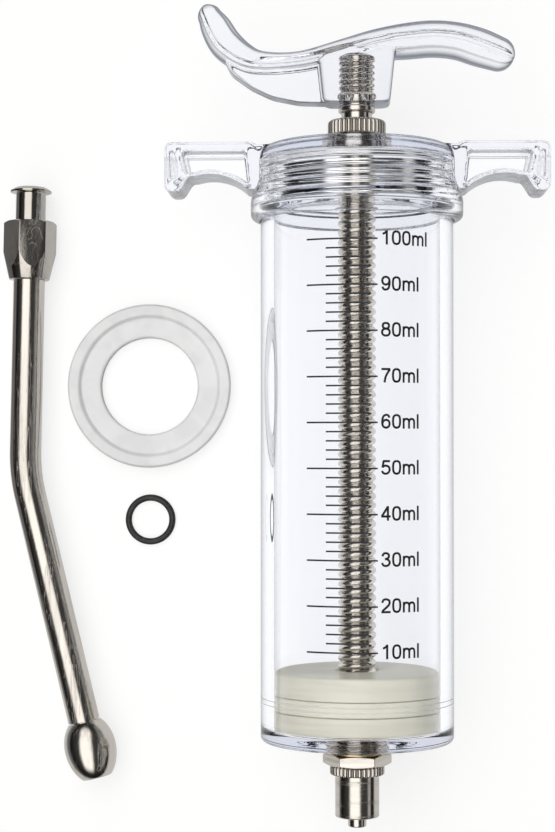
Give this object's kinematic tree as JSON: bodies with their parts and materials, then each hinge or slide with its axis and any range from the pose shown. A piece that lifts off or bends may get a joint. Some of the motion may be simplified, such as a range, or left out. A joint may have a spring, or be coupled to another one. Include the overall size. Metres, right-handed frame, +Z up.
{
  "type": "veterinary syringe",
  "caption": "Clear reusable syringe with a screw cap, finger wings, wave-shaped handle and metal rod, laid out with its bent drenching nozzle, a spare seal and a spare O-ring.",
  "frame": {"origin": "centre of the set's footprint, on the surface it lies on", "axes": "+Y along the syringe from its tip to its handle, +X from the nozzle to the syringe, +Z up"},
  "size_m": [0.1232, 0.1806, 0.0468],
  "materials": {
    "clear_plastic": "clear, polished",
    "nickel_plate": "bright nickel plate, lightly brushed",
    "brass": "satin",
    "cream_nylon": "smooth, slightly waxy",
    "seal_silicone": "smooth silicone",
    "spare_silicone": "translucent silicone",
    "black_rubber": "satin"
  },
  "bodies": {
    "barrel": {"barrel": "clear_plastic", "luer_body": "nickel_plate", "luer_washer": "brass", "luer_clip": "nickel_plate"},
    "collar": {"luer_collar": "nickel_plate"},
    "cap_carrier": {"cap_gasket": "seal_silicone"},
    "cap": {"cap": "clear_plastic", "cap_bush": "nickel_plate"},
    "plunger": {"piston_top": "cream_nylon", "piston_seal": "seal_silicone", "piston_base": "cream_nylon", "rod_oring": "black_rubber"},
    "rod": {"rod": "nickel_plate", "rod_washer": "nickel_plate", "rod_nut": "nickel_plate", "handle": "clear_plastic", "handle_stud": "nickel_plate"},
    "dose_nut": {"dose_nut": "nickel_plate"},
    "nozzle": {"nozzle_hub": "nickel_plate", "nozzle_tube": "nickel_plate", "nozzle_bulb": "nickel_plate"},
    "spare_seal": {"spare_seal": "spare_silicone"},
    "spare_oring": {"spare_oring": "black_rubber"}
  },
  "joints": [
    {"name": "collar_turn", "type": "hinge", "parent": "barrel", "child": "collar", "pos_m": [0.0197, -0.08146, 0.02094], "axis": [0, 0.9998, 0.0193], "continuous": true},
    {"name": "cap_lift", "type": "slide", "parent": "barrel", "child": "cap_carrier", "axis": [0, 0.9998, 0.0193], "range_m": [0, 0.00936]},
    {"name": "cap_turn", "type": "hinge", "parent": "cap_carrier", "child": "cap", "pos_m": [0.0197, 0.04851, 0.02345], "axis": [0, 0.9998, 0.0193], "range_deg": [0, 1620]},
    {"name": "plunger_slide", "type": "slide", "parent": "cap_carrier", "child": "plunger", "axis": [0, 0.9998, 0.0193], "range_m": [0, 0.11]},
    {"name": "rod_turn", "type": "hinge", "parent": "plunger", "child": "rod", "pos_m": [0.0197, 0.02852, 0.02306], "axis": [0, 0.9998, 0.0193], "range_deg": [-360, 360]},
    {"name": "dose_nut_turn", "type": "hinge", "parent": "rod", "child": "dose_nut", "pos_m": [0.0197, 0.06251, 0.02372], "axis": [0, 0.9998, 0.0193], "continuous": true},
    {"name": "nozzle_lift", "type": "slide", "parent": "barrel", "child": "nozzle", "axis": [0, 0, 1], "range_m": [0, 0.06]},
    {"name": "spare_seal_lift", "type": "slide", "parent": "barrel", "child": "spare_seal", "axis": [0, 0, 1], "range_m": [0, 0.04]},
    {"name": "spare_oring_lift", "type": "slide", "parent": "barrel", "child": "spare_oring", "axis": [0, 0, 1], "range_m": [0, 0.04]}
  ],
  "couplings": [
    {"joint": "cap_turn", "follows": "cap_lift", "rad_per_m": 3020.7}
  ]
}
